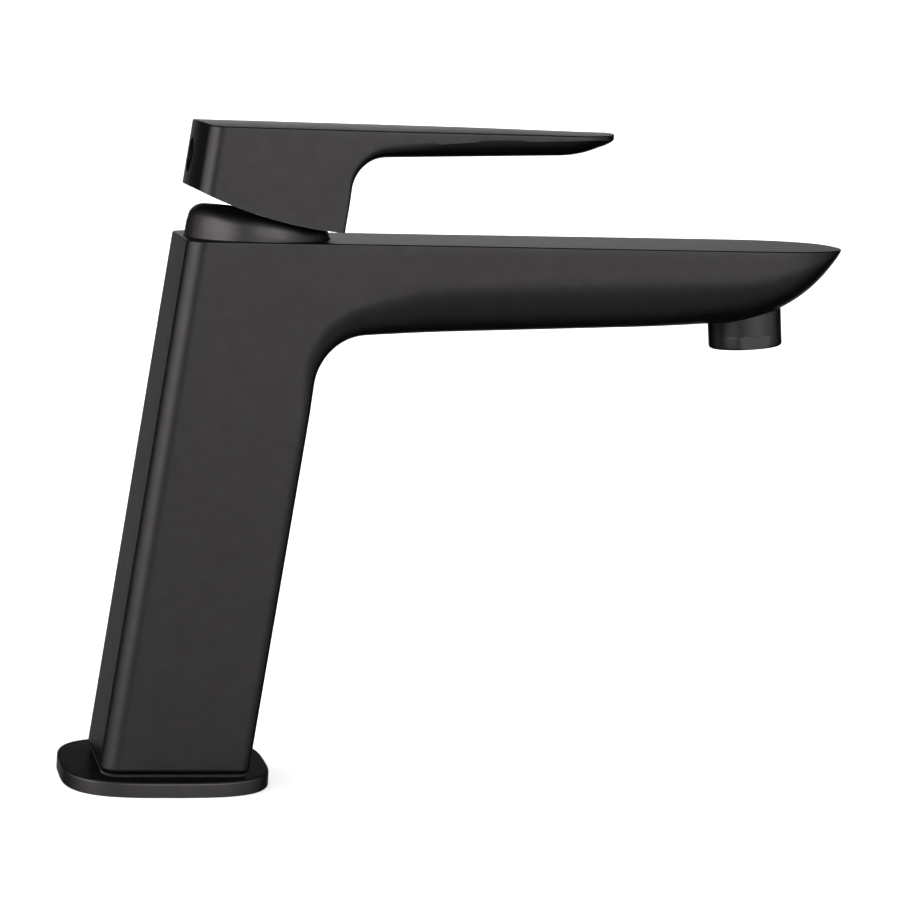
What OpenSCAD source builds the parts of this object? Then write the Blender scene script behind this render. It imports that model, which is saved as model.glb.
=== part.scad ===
// Single-lever basin mixer: leaning column with a flat spout and a paddle lever.
// Frame: +X along the spout, +Z up, symmetric about the XZ plane.
// Origin: centre of the base plate's underside, on the deck.
// Millimetres throughout.

/* [Base plate] */
// Length of the plate along the spout
plate_l = 63.6; // [60:0.2:70]
// Width of the plate across the spout
plate_w = 59.2; // [56:0.2:66]
// Thickness of the plate
plate_t = 4.7; // [4:0.1:6]
// Squareness of the plate's outline (2 is an ellipse)
plate_squareness = 3.2; // [2.6:0.1:4]
// Radius of the hole for hose tails and stud
plate_hole_r = 17; // [16:0.5:18]

/* [Column] */
// Lean of the column and cartridge towards the spout, degrees
lean = 7.15; // [6:0.05:8]
// Depth of the column, square to its axis
col_d = 44.8; // [44.4:0.1:46]
// Width of the column and of the spout's root
col_w = 46.6; // [46.4:0.1:48]
// Radius of the two back vertical corners
corner_back = 6.5; // [4:0.5:8]
// Radius of the two front vertical corners
corner_front = 4; // [3:0.5:6]
// Wall of the hollow casting
wall = 3; // [2.8:0.1:3.4]

/* [Spout] */
// Height of the body's top face above the deck, on the cartridge axis
top_z = 166.4; // [160:0.2:172]
// Rise of the top face towards the nose, degrees
top_rise = 1.08; // [0.5:0.01:1.5]
// Rise of the underside towards the nose, degrees
under_rise = 3.3; // [2.5:0.1:4]
// Height of the underside above the deck, 120 mm out
under_z = 142.3; // [140:0.1:144]
// Tip of the nose from the origin
nose_x = 206.6; // [200:0.2:212]
// Radius of the nose's upward sweep
nose_r = 41.5; // [38:0.5:44]
// Greatest width of the spout
spout_w = 49; // [47:0.2:52]
// Radius of the rolled lower edges
roll_r = 14; // [10:0.5:16]
// Radius of the inner corner between column and spout
crook_r = 17; // [14:0.5:20]

/* [Aerator] */
// Distance of the aerator's axis from the origin, at its lower rim
aer_x = 178.4; // [174:0.2:182]
// Height of the aerator's lower rim above the deck
aer_z = 137.7; // [136:0.1:140]
// Outward tilt of the aerator, degrees
aer_tilt = 6; // [4:0.5:8]
// Radius of the visible barrel
aer_r = 11.5; // [11.2:0.1:12.5]
// Radius of the screw-in neck
aer_neck_r = 10.9; // [10.6:0.1:11]

/* [Cartridge] */
// Radius of the cartridge pocket (35 mm cartridge)
pocket_r = 17.6; // [17.6:0.05:17.7]
// Depth of the pocket's floor below the body's top, on the axis
seat_z = -31; // [-32:0.5:-30]
// Height of the lever's pivot pin above the body's top, on the axis
pivot_z = -2; // [-2.5:0.1:-1.5]
// Radius of the pivot pin
pin_r = 1.5; // [1.3:0.1:1.7]
// Drop from the pivot pin to the stem's driving tip
arm = 9; // [8.5:0.1:9.2]

/* [Lever handle] */
// Width of the handle's block
block_w = 45; // [44.8:0.1:46]
// Front face of the block, from the cartridge axis
block_front = 22.4; // [22.2:0.1:23]
// Bulge of the block's back face, from the cartridge axis
block_back = 24.2; // [23.8:0.1:24.6]
// Radius of the bulged back face, in plan
back_bulge_r = 95; // [80:1:120]
// Height of the handle's top face above the deck, on the cartridge axis
handle_top_z = 201; // [199:0.2:203]
// Rise of the handle's top towards the tip, degrees
handle_rise = 0.8; // [0.5:0.05:1.1]
// Tip of the lever from the origin
lever_tip_x = 130.6; // [120:0.2:140]
// Width of the lever near its tip
lever_tip_w = 33; // [28:0.5:38]
// Wall of the hollow handle block
handle_wall = 2.2; // [2:0.1:2.3]

/* [Hidden] */
$fn = 72;
eps = 0.01;
far = 400;

// The cartridge frame: its origin is where the cartridge axis meets the body's top face,
// its z runs up the axis and its x leans down towards the spout.
axis_x = 22.3;
col_offset = -0.9;
col_back = col_offset - col_d / 2;
col_front = col_offset + col_d / 2;

// Levels along the cartridge axis
recess_r = 22.1;
recess_z = -3.6;
thread_r = 19.4;
shoulder_z = -12;
base_top_z = seat_z + 6;
fixed_top_z = base_top_z + 4;
moving_top_z = fixed_top_z + 3.5;
carrier_plate_z = moving_top_z + 3.5;
carrier_top_z = carrier_plate_z + 4.8;
flange_z = carrier_top_z + 0.4;
flange_top_z = flange_z + 3.8;
neck_top_z = 5.5;
stem_top_z = 26;
disc_rest = -1.95;
run = 0.05;

// Internal radii
base_r = 15.3;
fixed_r = 13;
moving_r = 11.5;
cavity_r = 14;
neck_r = 9.6;
port_r = 3.5;
port_x = -6.5;
port_y = 7;
outlet_r = 4;
outlet_x = 8;

// Outlet passage and the spout's channel
slot_w = 20;
slot_t = 3;
channel_r = 8.8;
channel_y = 10.5;
channel_x = 46.8;
channel_z = 152.9;
channel_rise = 2.1;
channel_l = 138;

// Aerator levels above its lower rim
aer_joint = 5.6;
aer_neck_top = 17;

// Ports in the foot
foot_x = 1.15;
foot_seal_t = 0.8;
hose_x = -6;
hose_y = 8;
hose_tap_r = 4.5;
stud_x = 10;
stud_tap_r = 3.4;
foot_block_z = 20;

grub_z = 21;
grub_r = 2.5;
plug_r = 5.2;
plug_seat = 3;

function dir(a) = [cos(a), sin(a)];
function left_of(d) = [-d[1], d[0]];
function cross2(a, b) = a[0] * b[1] - a[1] * b[0];
// Where the line through p along d meets the line through q along e
function meet(p, d, q, e) = p + d * (cross2(q - p, e) / cross2(d, e));
// A point of the cartridge frame's xz plane, in the world's xz plane
function out(x, z) = [
    axis_x + x * cos(lean) + z * sin(lean),
    top_z - x * sin(lean) + z * cos(lean)
];

top_dir = dir(top_rise);
under_dir = dir(under_rise);
col_dir = [sin(lean), cos(lean)];
top_point = [axis_x, top_z];
under_point = [120, under_z];
front_point = out(col_front, 0);
crook_corner = meet(front_point, col_dir, under_point, under_dir);
crook_centre = meet(front_point + crook_r * [cos(lean), -sin(lean)], col_dir,
                    under_point - crook_r * left_of(under_dir), under_dir);
nose_top = meet(top_point, top_dir, [nose_x, 0], [0, 1]);
// The nose's arc is tangent to the underside and ends at the tip of the top face
nose_line = under_point + nose_r * left_of(under_dir);
nose_reach = abs(cross2(nose_top - nose_line, under_dir));
nose_centre = nose_line
    + under_dir * (under_dir * (nose_top - nose_line) - sqrt(nose_r * nose_r - nose_reach * nose_reach));
nose_foot = nose_centre - nose_r * left_of(under_dir);

module cartridge_frame() {
    translate([axis_x, 0, top_z]) rotate([0, lean, 0]) children();
}

module aerator_frame() {
    translate([aer_x, 0, aer_z]) rotate([0, -aer_tilt, 0]) children();
}

// Sweeps an outline drawn in the world's xz plane across the width w
module across(w) {
    translate([0, w / 2, 0]) rotate([90, 0, 0]) linear_extrude(w) children();
}

module ring(r_out, r_in, h) {
    difference() {
        cylinder(r = r_out, h = h);
        translate([0, 0, -1]) cylinder(r = r_in, h = h + 2);
    }
}

module o_ring(r_mid, r_cord) {
    rotate_extrude() translate([r_mid, 0]) circle(r = r_cord, $fn = 24);
}

// Rectangle from x0 to x1 with corner radius r0 at x0 and r1 at x1
module rounded_block(x0, x1, w, r0, r1) {
    translate([x0 + r0, -w / 2]) square([x1 - x0 - r0 - r1, w]);
    translate([x0, -w / 2 + r0]) square([r0 + eps, w - 2 * r0]);
    translate([x1 - r1 - eps, -w / 2 + r1]) square([r1 + eps, w - 2 * r1]);
    for (side = [-1, 1]) {
        translate([x0 + r0, side * (w / 2 - r0)]) circle(r = r0);
        translate([x1 - r1, side * (w / 2 - r1)]) circle(r = r1);
    }
}

// Superellipse with half axes a and b
function superellipse(a, b, n, from, to, steps) = [
    for (i = [0 : steps]) let (t = from + (to - from) * i / steps, c = cos(t), s = sin(t))
        [a * sign(c) * pow(abs(c), 2 / n), b * sign(s) * pow(abs(s), 2 / n)]
];

// ---------- base ----------

module plate_outline(grow) {
    polygon(superellipse(plate_l / 2 + grow, plate_w / 2 + grow, plate_squareness, 0, 355, 71));
}

module base_plate() color([0.1, 0.1, 0.1]) difference() {
    linear_extrude(plate_t) plate_outline(0);
    translate([0, 0, -1]) cylinder(r = plate_hole_r, h = plate_t + 2);
    // groove for the deck seal
    translate([0, 0, -1]) ring(25, 22, 2);
}

module deck_seal() color([0.15, 0.15, 0.15]) ring(25, 22, 1);

// Band that follows the column's wall, in a groove of its foot
module foot_band() translate([foot_x, 0, plate_t]) linear_extrude(foot_seal_t) difference() {
    rounded_block(-col_d / 2 + 0.8, col_d / 2 - 0.8, col_w - 1.6, corner_back - 0.8, corner_front - 0.8);
    rounded_block(-col_d / 2 + 2.1, col_d / 2 - 2.1, col_w - 4.2, corner_back - 2.1, corner_front - 2.1);
}

module foot_seal() color([0.12, 0.12, 0.12]) foot_band();

// ---------- body ----------

// Everything above the top face
module above_top() {
    across(200) polygon([
        top_point - top_dir * 200,
        top_point + top_dir * 300,
        top_point + top_dir * 300 + [0, 100],
        top_point - top_dir * 200 + [0, 100]
    ]);
}

module column_shell(inset) {
    linear_extrude(220) rounded_block(col_back + inset, col_front - inset, col_w - 2 * inset,
                                      corner_back - inset / 2, corner_front - inset / 2);
}

module column_solid() difference() {
    cartridge_frame() translate([0, 0, -190]) column_shell(0);
    translate([-far / 2, -far / 2, plate_t - 60]) cube([far, far, 60]);
}

module spout_side() {
    difference() {
        polygon([
            top_point + [0, 12],
            nose_top + [8, 12],
            [nose_top[0] + 8, nose_foot[1] - 1],
            nose_foot,
            crook_corner,
            out(0, -35)
        ]);
        // the sweep of the nose
        difference() {
            translate([nose_foot[0], nose_foot[1] - 10]) square([60, nose_top[1] - nose_foot[1] + 30]);
            translate(nose_centre) circle(r = nose_r, $fn = 180);
        }
    }
}

module spout_plan() {
    nose_l = 30;
    translate([nose_x - nose_l, 0])
        polygon(superellipse(nose_l, spout_w / 2, 2.5, -90, 90, 48));
    polygon([
        [axis_x, -col_w / 2],
        [front_point[0], -col_w / 2],
        [nose_x - 60, -spout_w / 2],
        [nose_x - nose_l + eps, -spout_w / 2],
        [nose_x - nose_l + eps, spout_w / 2],
        [nose_x - 60, spout_w / 2],
        [front_point[0], col_w / 2],
        [axis_x, col_w / 2]
    ]);
}

// Section of the spout looking along it: upright sides, rolled lower edges
module spout_section(w) {
    translate([0, -w / 2 + roll_r]) square([60, w - 2 * roll_r]);
    translate([roll_r, -w / 2]) square([60 - roll_r, w]);
    for (side = [-1, 1]) translate([roll_r, side * (w / 2 - roll_r)]) circle(r = roll_r);
}

module rolled_bar() {
    start = under_point - under_dir * 90;
    translate([start[0], 0, start[1]]) rotate([0, -under_rise, 0])
        rotate([0, -90, 0]) mirror([0, 0, 1]) linear_extrude(190) spout_section(spout_w);
}

module spout_solid() intersection() {
    across(spout_w + 10) spout_side();
    translate([0, 0, 100]) linear_extrude(100) spout_plan();
    rolled_bar();
}

module crook() {
    crook_column = crook_centre - crook_r * [cos(lean), -sin(lean)];
    crook_under = crook_centre + crook_r * left_of(under_dir);
    // kept inside the flat of the column's front face
    across(col_w - 2 * corner_front - 2) difference() {
        polygon([
            crook_column - [5, 0],
            crook_centre,
            crook_under + [0, 7],
            crook_corner + [-5, 7]
        ]);
        // a little over size, so that the arc crosses both faces at a small angle
        translate(crook_centre) circle(r = crook_r + 0.12, $fn = 120);
    }
}

// Hollow of the column, open at the foot, around the two inlet pipes and the foot block
module column_core() {
    difference() {
        cartridge_frame() translate([0, 0, seat_z - 150]) linear_extrude(139)
            rounded_block(col_back + wall, col_front - wall, col_w - 2 * wall, 3.5, 2);
        cartridge_frame() for (side = [-1, 1])
            translate([port_x, side * port_y, -190]) cylinder(r = port_r + 2.6, h = 190);
        // foot block that takes the hose tails and the stud
        translate([-14.5, -30, 0]) cube([31.5, 60, foot_block_z]);
        for (side = [-1, 1]) translate([hose_x, side * hose_y, 0]) cylinder(r = 7.5, h = foot_block_z + 4);
    }
}

module waterways() {
    for (side = [-1, 1]) {
        cartridge_frame() translate([port_x, side * port_y, -147]) cylinder(r = port_r, h = 147 + seat_z + 1);
        translate([hose_x, side * hose_y, plate_t - 1]) cylinder(r = hose_tap_r, h = 12 + 1);
        translate([hose_x, side * hose_y, plate_t + 11]) cylinder(r = 3, h = 6.5);
    }
    translate([stud_x, 0, plate_t - 1]) cylinder(r = stud_tap_r, h = 14 + 1);
    // outlet: from the cartridge seat, round the pocket's lower corner, up into the spout
    cartridge_frame() {
        translate([outlet_x, 0, seat_z - 5]) cylinder(r = outlet_r, h = 6);
        translate([outlet_x - 4, -slot_w / 2, seat_z - 9]) cube([14, slot_w, 4]);
        translate([18.5, 0, -33.4]) rotate([0, 23, 0]) translate([-slot_t / 2, 1 - slot_w / 2, -4])
            cube([slot_t, slot_w - 2, 25]);
    }
    difference() {
        spout_channel();
        // seat around the screw-in neck
        aerator_frame() cylinder(r = aer_neck_r + 2.6, h = aer_neck_top + 1.6);
    }
}

// Flat channel along the spout, two round sides and a level middle
module spout_channel() {
    translate([channel_x, 0, channel_z]) rotate([0, 90 - channel_rise, 0]) {
        for (side = [-1, 1]) translate([0, side * channel_y, 0]) cylinder(r = channel_r, h = channel_l);
        translate([-channel_r, -channel_y, 0]) cube([2 * channel_r, 2 * channel_y, channel_l]);
    }
}

module pocket() cartridge_frame() {
    translate([0, 0, seat_z]) cylinder(r = base_r + 0.1, h = 10);
    translate([0, 0, base_top_z]) cylinder(r = pocket_r, h = 60);
    translate([0, 0, shoulder_z]) cylinder(r = thread_r, h = 60);
    translate([0, 0, recess_z]) cylinder(r = recess_r, h = 60);
}

module body() color([0.1, 0.1, 0.1]) difference() {
    union() {
        column_solid();
        spout_solid();
        crook();
        aerator_frame() translate([0, 0, aer_joint]) cylinder(r = aer_r, h = 10);
    }
    above_top();
    column_core();
    waterways();
    pocket();
    foot_band();
    aerator_frame() {
        translate([0, 0, -1]) cylinder(r = aer_neck_r, h = aer_neck_top + 1);
        cylinder(r = 9, h = aer_neck_top + 5);
    }
}

// ---------- cartridge ----------

module ports(h) {
    for (side = [-1, 1]) translate([port_x, side * port_y, 0]) cylinder(r = port_r, h = h);
    translate([outlet_x, 0, 0]) cylinder(r = outlet_r, h = h);
}

module cartridge_base() color([0.85, 0.85, 0.82]) cartridge_frame() difference() {
    translate([0, 0, seat_z]) cylinder(r = base_r, h = base_top_z - seat_z);
    translate([0, 0, seat_z - 1]) ports(10);
    for (side = [-1, 1]) translate([port_x, side * port_y, seat_z - 1]) cylinder(r = port_r + 2, h = 2.2);
    translate([outlet_x, 0, seat_z - 1]) cylinder(r = outlet_r + 2, h = 2.2);
}

module port_seals() color([0.1, 0.1, 0.1]) cartridge_frame() translate([0, 0, seat_z + 0.6]) {
    for (side = [-1, 1]) translate([port_x, side * port_y, 0]) o_ring(port_r + 1.3, 0.6);
    translate([outlet_x, 0, 0]) o_ring(outlet_r + 1.3, 0.6);
}

module fixed_disc() color([0.95, 0.95, 0.92]) cartridge_frame() difference() {
    translate([0, 0, base_top_z]) cylinder(r = fixed_r, h = fixed_top_z - base_top_z);
    translate([0, 0, base_top_z - 1]) ports(10);
}

module moving_disc() color([0.9, 0.9, 0.87]) cartridge_frame()
    translate([disc_rest, 0, fixed_top_z]) difference() {
        cylinder(r = moving_r, h = moving_top_z - fixed_top_z);
        // blind mixing chamber in the lower face
        translate([2, 0, -1]) cylinder(r = 6, h = 3);
    }

module disc_carrier() color([0.3, 0.3, 0.35]) cartridge_frame() difference() {
    union() {
        translate([disc_rest, 0, moving_top_z]) cylinder(r = moving_r, h = carrier_plate_z - moving_top_z);
        translate([-6, -6.6, carrier_plate_z - eps]) cube([12, 13.2, carrier_top_z - carrier_plate_z + eps]);
    }
    // socket for the stem's tip
    translate([-3.3, -3.3, pivot_z - arm - 3.4]) cube([6.6, 6.6, 12]);
}

module rotor() color([0.75, 0.75, 0.72]) cartridge_frame() difference() {
    union() {
        translate([0, 0, flange_z]) cylinder(r = 13.6, h = flange_top_z - flange_z);
        translate([0, 0, flange_z]) cylinder(r = neck_r, h = neck_top_z - flange_z);
        // two keys that turn the disc carrier and guide its slide
        for (side = [-1, 1]) translate([-7, side * 7.9 - 1.1, carrier_plate_z + 0.2])
            cube([14, 2.2, flange_z - carrier_plate_z]);
    }
    translate([-7.8, -3.2, flange_z - 1]) cube([15.6, 6.4, 20]);
    translate([0, 0, pivot_z]) rotate([90, 0, 0]) cylinder(r = pin_r, h = 18.4, center = true);
}

module limit_ring() color([0.75, 0.15, 0.1]) cartridge_frame() translate([0, 0, 0.4]) {
    ring(12, neck_r, 2.6);
    translate([-13.4, -1.5, 0]) cube([2, 3, 2.6]);
}

module cartridge_housing() color([0.92, 0.92, 0.9]) cartridge_frame() difference() {
    union() {
        translate([0, 0, base_top_z]) cylinder(r = pocket_r - 0.1, h = shoulder_z - base_top_z);
        translate([0, 0, shoulder_z - eps]) cylinder(r = 14.5, h = -shoulder_z + eps);
    }
    translate([0, 0, base_top_z - 1]) cylinder(r = cavity_r, h = flange_top_z + run - base_top_z + 1);
    translate([0, 0, -20]) cylinder(r = neck_r + run, h = 40);
}

module pivot_pin() color([0.8, 0.8, 0.8]) cartridge_frame()
    translate([0, 0, pivot_z]) rotate([90, 0, 0]) cylinder(r = pin_r, h = 18.4, center = true);

module lever_stem() color([0.8, 0.7, 0.4]) cartridge_frame() difference() {
    union() {
        translate([-3.5, -3, pivot_z - 3]) cube([7, 6, stem_top_z - pivot_z + 3]);
        translate([-2, -3, pivot_z - arm]) cube([4, 6, arm]);
        translate([0, 0, pivot_z - arm]) rotate([90, 0, 0]) cylinder(r = 3, h = 6, center = true);
    }
    translate([0, 0, pivot_z]) rotate([90, 0, 0]) cylinder(r = pin_r + run, h = 20, center = true);
}

module cartridge_nut() color([0.8, 0.7, 0.35]) cartridge_frame() difference() {
    union() {
        translate([0, 0, shoulder_z]) cylinder(r = thread_r, h = recess_z - shoulder_z);
        translate([0, 0, recess_z - eps]) cylinder(r = 17.8, h = 5.6);
    }
    translate([0, 0, shoulder_z - 1]) cylinder(r = 14.6, h = 30);
    // groove for the cap's O-ring
    translate([0, 0, -1.9]) ring(20, 17.1, 2);
    // spanner slots
    for (turn = [0 : 60 : 300]) rotate([0, 0, turn]) translate([15.5, -2, 0.6]) cube([4, 4, 4]);
}

module cap_o_ring() color([0.1, 0.1, 0.1]) cartridge_frame() translate([0, 0, -0.9]) o_ring(18.1, 0.95);

module dome_cap() color([0.1, 0.1, 0.1]) cartridge_frame() rotate_extrude($fn = 144) {
    shoulder_r = 4.5;
    difference() {
        union() {
            polygon([
                [13.2, recess_z],
                [21.85, recess_z],
                [21.85, 1],
                [21.6, 2.7],
                [17.1, 7.2],
                [13.2, 7.5]
            ]);
            translate([17.1, 2.7]) circle(r = shoulder_r);
        }
        translate([13, recess_z - 1]) square([6.1, 6.6 - recess_z - 1]);
        translate([0, -20]) square([13.2, 40]);
    }
}

// ---------- handle ----------

handle_dir = dir(handle_rise);
handle_top = [axis_x + (handle_top_z - top_z) * tan(lean), handle_top_z];
lever_under = [60, 192.6];
lever_under_dir = dir(2.7);
block_front_point = out(block_front, 0);
knee_r = 11;
knee_corner = meet(block_front_point, col_dir, lever_under, lever_under_dir);
knee_centre = meet(block_front_point + knee_r * [cos(lean), -sin(lean)], col_dir,
                   lever_under - knee_r * left_of(lever_under_dir), lever_under_dir);
tip_top = meet(handle_top, handle_dir, [lever_tip_x, 0], [0, 1]);
knee_front = knee_centre - knee_r * [cos(lean), -sin(lean)];
knee_under = knee_centre + knee_r * left_of(lever_under_dir);
belly_r = 126;
belly_centre = [54, top_z + 129.3];
lever_start_x = 46;
lever_tip_l = 16;
taper = atan((block_w - lever_tip_w) / 2 / (lever_tip_x - lever_tip_l - lever_start_x));
edge_t = 3.7;
edge_thinning = 1.6;

module handle_side() intersection() {
    difference() {
        polygon([
            meet(handle_top, handle_dir, out(-block_back - 1, 0), col_dir),
            tip_top,
            tip_top - [0, 0.9],
            tip_top - [2.2, 2.4],
            tip_top - [8, 4.8],
            tip_top - [15.5, 6.3],
            knee_under,
            knee_centre,
            knee_front,
            out(block_front, 0),
            out(-block_back - 1, 0)
        ]);
        translate(knee_centre) circle(r = knee_r, $fn = 96);
    }
    // the belly under the block is an arc that gives the lever room to lift
    translate(belly_centre) circle(r = belly_r, $fn = 360);
}

// Plan of the block, square to the cartridge axis
module block_plan(inset) intersection() {
    rounded_block(-block_back + inset, block_front - inset, block_w - 2 * inset,
                  5.5 - inset / 2, 3.5 - inset / 2);
    translate([back_bulge_r - block_back, 0]) circle(r = back_bulge_r - inset, $fn = 360);
}

module lever_plan() {
    translate([lever_tip_x - lever_tip_l, 0])
        polygon(superellipse(lever_tip_l, lever_tip_w / 2, 3, -90, 90, 36));
    polygon([
        [lever_start_x - 20, -block_w / 2 + 1],
        [lever_start_x, -block_w / 2],
        [lever_tip_x - lever_tip_l + eps, -lever_tip_w / 2],
        [lever_tip_x - lever_tip_l + eps, lever_tip_w / 2],
        [lever_start_x, block_w / 2],
        [lever_start_x - 20, block_w / 2 - 1]
    ]);
}

module handle_outer() intersection() {
    across(60) handle_side();
    union() {
        cartridge_frame() linear_extrude(60) block_plan(0);
        translate([0, 0, knee_centre[1] + 2]) linear_extrude(60) lever_plan();
    }
}

// Chamfer under each long edge of the lever
module lever_bevels() {
    edge_start = meet(handle_top, handle_dir, [lever_start_x, 0], [0, 1]);
    for (side = [-1, 1])
        translate([lever_start_x, side * block_w / 2, edge_start[1] - edge_t])
            rotate([0, -handle_rise - edge_thinning, -side * taper])
                translate([10, 0, 0]) rotate([90, 0, 90]) linear_extrude(100)
                    polygon([[side * 2, 0.7], [side * -17, -5.95], [side * -17, -12], [side * 2, -12]]);
}

module handle_cavity() intersection() {
    cartridge_frame() linear_extrude(60) block_plan(handle_wall);
    across(60) polygon([
        handle_top - handle_dir * 80 - [0, 3.5],
        handle_top + handle_dir * 80 - [0, 3.5],
        handle_top + [80, -60],
        handle_top - [80, 60]
    ]);
}

module handle_bosses() cartridge_frame() {
    translate([0, 0, 13]) cylinder(r = 7.2, h = 30);
    translate([-block_back, 0, grub_z]) rotate([0, 90, 0]) cylinder(r = 6.6, h = block_back);
    translate([-block_back, -6.6, grub_z]) cube([block_back, 13.2, 20]);
}

module handle() color([0.1, 0.1, 0.1]) difference() {
    union() {
        difference() {
            handle_outer();
            lever_bevels();
            handle_cavity();
        }
        intersection() {
            handle_outer();
            handle_bosses();
        }
    }
    cartridge_frame() {
        translate([-3.5, -3, 0]) cube([7, 6, stem_top_z]);
        translate([-40, 0, grub_z]) rotate([0, 90, 0]) cylinder(r = grub_r, h = 38);
        translate([-40, 0, grub_z]) rotate([0, 90, 0]) cylinder(r = plug_r, h = 40 - block_back + plug_seat);
    }
}

module grub_screw() color([0.5, 0.5, 0.5]) cartridge_frame()
    translate([-3.5, 0, grub_z]) rotate([0, -90, 0]) difference() {
        cylinder(r = grub_r, h = 9);
        // hexagon socket
        translate([0, 0, 6]) cylinder(r = 1.45, h = 4, $fn = 6);
    }

module handle_plug() color([0.13, 0.13, 0.13]) cartridge_frame()
    translate([-block_back + plug_seat, 0, grub_z]) rotate([0, -90, 0]) difference() {
        union() {
            cylinder(r = plug_r, h = 1.9);
            translate([0, 0, -2.5]) cylinder(r = grub_r, h = 3);
        }
        // dished face
        translate([0, 0, 21.4]) sphere(r = 20, $fn = 96);
    }

// ---------- aerator ----------

module aerator_housing() color([0.1, 0.1, 0.1]) aerator_frame() difference() {
    union() {
        cylinder(r = aer_r, h = aer_joint - 0.05);
        cylinder(r = aer_neck_r - 0.05, h = aer_neck_top - 2);
    }
    translate([0, 0, -1]) cylinder(r = 9, h = 20);
    translate([0, 0, 2.2]) cylinder(r = 9.8, h = 20);
    // two spanner flats above the rim
    for (side = [-1, 1])
        translate([-10, side * (aer_r - 0.9) - (side < 0 ? 4 : 0), -1]) cube([20, 4, 5.3]);
}

module aerator_insert() color([0.75, 0.76, 0.78]) aerator_frame() difference() {
    translate([0, 0, 3]) cylinder(r = 9.75, h = 10);
    for (turn = [0 : 45 : 315]) rotate([0, 0, turn]) translate([6, 0, 0]) cylinder(r = 1.6, h = 20);
    cylinder(r = 2.4, h = 20);
}

module aerator_screen() color([0.6, 0.6, 0.62]) aerator_frame() difference() {
    translate([0, 0, 2.2]) cylinder(r = 9.75, h = 0.8);
    for (row = [-3 : 3], column = [-3 : 3])
        if (row * row + column * column < 12)
            translate([row * 2.5, column * 2.5, 0]) cylinder(r = 0.85, h = 6, $fn = 4);
}

module aerator_washer() color([0.1, 0.1, 0.1]) aerator_frame()
    translate([0, 0, aer_neck_top - 2]) ring(10.6, 8, 1.8);

body();
base_plate();
foot_seal();
deck_seal();
dome_cap();
cap_o_ring();
cartridge_nut();
cartridge_housing();
cartridge_base();
port_seals();
fixed_disc();
moving_disc();
disc_carrier();
rotor();
limit_ring();
pivot_pin();
lever_stem();
handle();
grub_screw();
handle_plug();
aerator_housing();
aerator_insert();
aerator_screen();
aerator_washer();
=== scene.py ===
"""Looks of the basin mixer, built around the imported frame. Shapes are worked out in millimetres."""

import math

import bmesh
import bpy
from mathutils import Matrix, Vector
from mathutils.geometry import delaunay_2d_cdt

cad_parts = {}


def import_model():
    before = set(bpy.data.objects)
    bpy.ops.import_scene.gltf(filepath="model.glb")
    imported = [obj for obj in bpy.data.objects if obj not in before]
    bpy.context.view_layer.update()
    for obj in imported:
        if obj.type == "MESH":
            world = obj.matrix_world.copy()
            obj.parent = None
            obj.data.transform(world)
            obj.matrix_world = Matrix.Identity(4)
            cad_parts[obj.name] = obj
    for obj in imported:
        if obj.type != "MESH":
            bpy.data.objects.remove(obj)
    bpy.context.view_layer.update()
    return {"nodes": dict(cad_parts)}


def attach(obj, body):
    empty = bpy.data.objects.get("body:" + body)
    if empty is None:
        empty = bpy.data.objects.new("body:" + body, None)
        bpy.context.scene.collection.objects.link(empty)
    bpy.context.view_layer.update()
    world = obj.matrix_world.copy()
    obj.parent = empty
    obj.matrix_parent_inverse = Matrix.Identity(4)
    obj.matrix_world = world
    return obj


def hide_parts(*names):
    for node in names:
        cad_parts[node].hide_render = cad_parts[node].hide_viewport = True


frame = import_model()

MM = 0.001
SHARP_BEND = math.radians(32.0)

# ---------- sizes, in millimetres; a pair named _X is a stretch from one x to another ----------

# The cartridge's axis goes up from this point and leans forward with the column.
AXIS_X = 22.3
TOP_Z = 166.4
LEAN = math.radians(7.15)
COL_ANGLE = math.pi / 2 - LEAN

# Column, measured from the leaning axis, and the rolled edge at its foot.
COL_BACK = -23.3
COL_FRONT = 21.5
COL_HALF = 23.3
CORNER_BACK = 6.5
CORNER_FRONT = 3.6
PLATE_T = 4.7
FOOT_GAP = 0.35
FOOT_R = 2.2
FOOT_Z = PLATE_T + FOOT_GAP + FOOT_R

# Spout: the slopes of its top and underside, a point of the underside, its width and its nose.
TOP_RISE = math.radians(1.08)
TOP_SLOPE = math.tan(LEAN + TOP_RISE)
UNDER_RISE = math.radians(3.3)
UNDER_POINT = (120.0, 142.55)
CROOK_R = 17.0
SPOUT_HALF = 24.9
WIDENS_X = (58.0, 160.0)
NOSE_X = 205.6
NOSE_R = 44.0
NOSE_L = 30.0
NOSE_SQUARENESS = 2.5
FLAT_SIDE_X = 60.0
TOP_EDGE_R = 0.55
NOSE_EDGE_L = 9.0

# The roll between the flat sides and the underside. It starts before the crook and is full beyond it.
# It takes up to these shares of the height and of the half width, and widens again at the nose.
ROLL_R = 15.0
ROLL_LEAD = 14.0
ROLL_TAIL = 26.0
ROLL_HEIGHT = 0.6
ROLL_WIDTH = 0.82
NOSE_WIDTH = 0.95
NOSE_ROUND_X = (140.0, 186.0)

# Round recess under the collar. A ledge in it reaches in to a share of its radius.
RECESS_R = 22.1
RECESS_Z = -3.6
RECESS_LEDGE = 0.8

# Block of the handle, measured from the leaning axis. An arc cuts its underside, the belly.
BLOCK_BACK = -24.2
BLOCK_FRONT = 22.4
BLOCK_HALF = 22.45
BLOCK_CORNER = 5.5
BLOCK_ROLL = 1.1
BULGE_R = 95.0
BELLY = (53.0, 295.7)
BELLY_R = 126.0
HANDLE_WALL = 2.2
CEILING_T = 3.4
CEILING_Z = 28.0

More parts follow.
